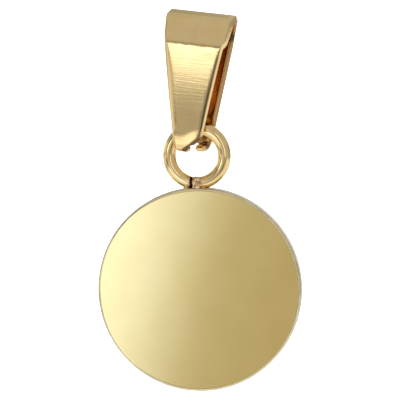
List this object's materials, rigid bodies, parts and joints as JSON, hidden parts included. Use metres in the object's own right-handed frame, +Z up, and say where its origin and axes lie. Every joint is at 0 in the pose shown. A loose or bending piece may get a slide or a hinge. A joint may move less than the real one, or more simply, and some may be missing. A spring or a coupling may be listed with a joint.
{
  "type": "round disc pendant with folded bail",
  "caption": "Blank polished round disc hanging by a split wire ring from a tapered, folded sheet bail.",
  "frame": {"origin": "where the chain bears, under the top of the bail's fold", "axes": "+Z up, the disc's front face looks along -Y and +X is to its right"},
  "size_m": [0.015, 0.0042, 0.0281],
  "materials": {
    "bail": "brushed across, gold-coloured plating",
    "disc_with_ring": "mirror polished, pale gold-coloured plating"
  },
  "bodies": {
    "bail": {"bail": "bail"},
    "drop": {"disc_with_ring": "disc_with_ring"}
  },
  "joints": [
    {"name": "drop_swing", "type": "hinge", "parent": "bail", "child": "drop", "pos_m": [-0.00067, 0.00032, -0.0079], "axis": [1, 0, 0], "range_deg": [-34, 48]}
  ]
}
